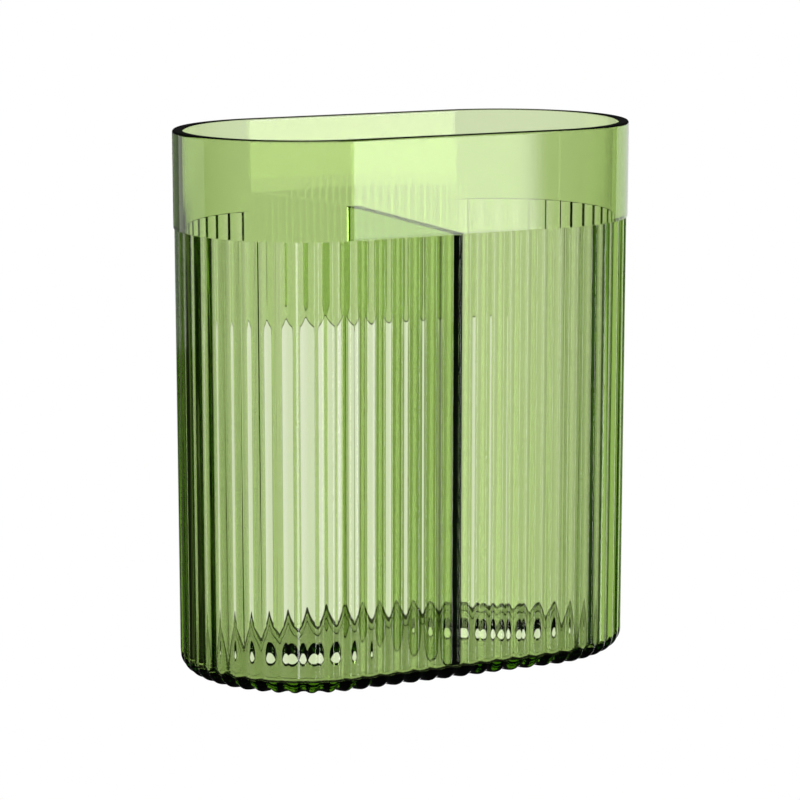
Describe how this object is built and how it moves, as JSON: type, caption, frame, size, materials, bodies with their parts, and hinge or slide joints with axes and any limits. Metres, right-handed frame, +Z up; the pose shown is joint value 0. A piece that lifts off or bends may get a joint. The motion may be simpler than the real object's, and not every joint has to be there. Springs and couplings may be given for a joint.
{
  "type": "toothbrush holder",
  "caption": "Oblong open cup of clear green plastic with vertical ribs below a plain band, and a lift-out divider that parts it into compartments for toothbrushes and toothpaste.",
  "frame": {"origin": "on the table, under the middle of the cup", "axes": "+Z up, +X along the cup's length, +Y across it towards the back"},
  "size_m": [0.097, 0.052, 0.11],
  "materials": {
    "clear_green_plastic": "clear, tinted green, polished"
  },
  "bodies": {
    "cup": {"holder_cup": "clear_green_plastic"},
    "divider": {"divider_plate": "clear_green_plastic"}
  },
  "joints": [
    {"name": "divider_lift", "type": "slide", "parent": "cup", "child": "divider", "axis": [0, 0, 1], "range_m": [0, 0.11]}
  ]
}
